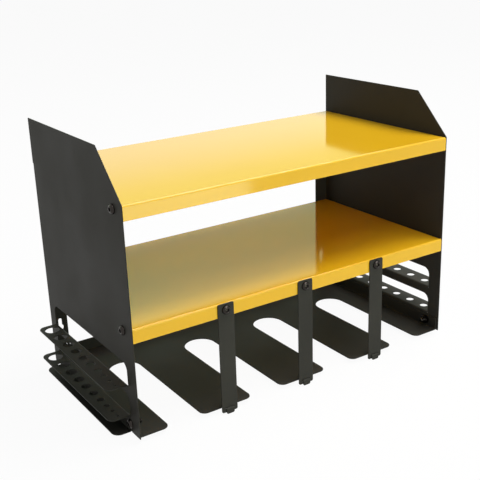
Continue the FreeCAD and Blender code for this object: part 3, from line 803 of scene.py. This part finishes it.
def seenWhite(tree):
    # 1 for what the camera and mirror-like surfaces see, 0 for light that falls on matt ones
    path = addNode(tree, "ShaderNodeLightPath").outputs
    seen = path["Is Camera Ray"]
    for other in ("Is Glossy Ray", "Is Transmission Ray"):
        either = addNode(tree, "ShaderNodeMath", None, {0: seen, 1: path[other]}, operation="MAXIMUM")
        seen = either.outputs[0]
    return seen


def studioWorld(s):
    world = bpy.data.worlds.new("whiteStudio")
    world.use_nodes = True
    tree = world.node_tree
    tree.nodes.clear()
    fill = addNode(tree, "ShaderNodeBackground", {"Color": plainWhite, "Strength": s["fill"]})
    white = addNode(tree, "ShaderNodeBackground", {"Color": plainWhite, "Strength": 1.0})
    mix = addNode(tree, "ShaderNodeMixShader", None,
                  {0: seenWhite(tree), 1: fill.outputs[0], 2: white.outputs[0]})
    addNode(tree, "ShaderNodeOutputWorld", None, {"Surface": mix.outputs[0]})
    bpy.context.scene.world = world


def studioFloor(s):
    half = s["floorSize"] / 2
    low = cadLow[2]
    mesh = bpy.data.meshes.new("studioFloor")
    mesh.from_pydata([(-half, -half, low), (half, -half, low), (half, half, low), (-half, half, low)], [],
                     [(0, 1, 2, 3)])
    floor = bpy.data.objects.new("studioFloor", mesh)
    bpy.context.scene.collection.objects.link(floor)
    material, tree = newMaterial("paleFloor")
    paint = addNode(tree, "ShaderNodeBsdfDiffuse", {"Color": linearColour(s["floorPaint"])})
    glow = addNode(tree, "ShaderNodeEmission", {"Color": plainWhite, "Strength": 1.0})
    share = addNode(tree, "ShaderNodeMath", {1: s["floorWhite"]}, {0: seenWhite(tree)}, operation="MULTIPLY")
    mix = addNode(tree, "ShaderNodeMixShader", None,
                  {0: share.outputs[0], 1: paint.outputs[0], 2: glow.outputs[0]})
    addNode(tree, "ShaderNodeOutputMaterial", None, {"Surface": mix.outputs[0]})
    mesh.materials.append(material)


def studioBackdrop(s):
    # glowing grey at the foot, pale green and khaki above it and grey again at the top: what the gloss
    # shelves mirror, a painted reflection source rather than a lit screen
    y = s["distance"]
    x = s["halfWidth"]
    mesh = bpy.data.meshes.new("studioBackdrop")
    mesh.from_pydata([(-x, y, s["low"]), (x, y, s["low"]), (x, y, s["high"]), (-x, y, s["high"])], [],
                     [(0, 1, 2, 3)])
    screen = bpy.data.objects.new("studioBackdrop", mesh)
    bpy.context.scene.collection.objects.link(screen)
    screen.visible_camera = False
    screen.visible_diffuse = False
    screen.visible_shadow = False
    material, tree = newMaterial("glowingScreen")
    place = addNode(tree, "ShaderNodeSeparateXYZ", None,
                    {"Vector": addNode(tree, "ShaderNodeTexCoord").outputs["Object"]})
    height = addNode(tree, "ShaderNodeMapRange", {"From Min": s["low"], "From Max": s["high"]},
                     {"Value": place.outputs["Z"]})
    bands = addNode(tree, "ShaderNodeValToRGB", None, {"Fac": height.outputs["Result"]})
    stops = bands.color_ramp.elements
    while len(stops) < len(s["bands"]):
        stops.new(0.5)   # they get their places below
    for stop, (level, colour) in zip(stops, s["bands"]):
        stop.position = (level - s["low"]) / (s["high"] - s["low"])
        stop.color = linearColour(colour)
    across = addNode(tree, "ShaderNodeMapRange", {"From Min": s["across"][0], "From Max": s["across"][1],
                                                  "To Min": s["levels"][0], "To Max": s["levels"][1]},
                     {"Value": place.outputs["X"]})
    level = addNode(tree, "ShaderNodeMapRange",
                    {"From Min": s["upper"][0], "From Max": s["upper"][1], "To Min": 1.0},
                    {"Value": place.outputs["Z"], "To Max": across.outputs["Result"]})
    strength = addNode(tree, "ShaderNodeMath", {1: s["strength"]}, {0: level.outputs["Result"]},
                       operation="MULTIPLY")
    glow = addNode(tree, "ShaderNodeEmission", None,
                   {"Color": bands.outputs["Color"], "Strength": strength.outputs[0]})
    addNode(tree, "ShaderNodeOutputMaterial", None, {"Surface": glow.outputs[0]})
    mesh.materials.append(material)


def studioLamp(name, place, size, power, seenBy="all", colour="#FFFFFF"):
    data = bpy.data.lights.new(name, "AREA")
    data.shape = "RECTANGLE"
    data.size, data.size_y = size
    data.energy = power
    data.color = linearColour(colour)[:3]
    lamp = bpy.data.objects.new(name, data)
    lamp.visible_diffuse = seenBy != "gloss"
    lamp.visible_glossy = seenBy != "matt"
    lamp.location = place
    lamp.rotation_euler = (-Vector(place)).to_track_quat("-Z", "Y").to_euler()
    bpy.context.scene.collection.objects.link(lamp)


studioWorld(studioSettings)
studioFloor(studioSettings)
studioBackdrop(studioSettings["backdrop"])
for lampSettings in studioSettings["lamps"]:
    studioLamp(**lampSettings)
print("studio made")
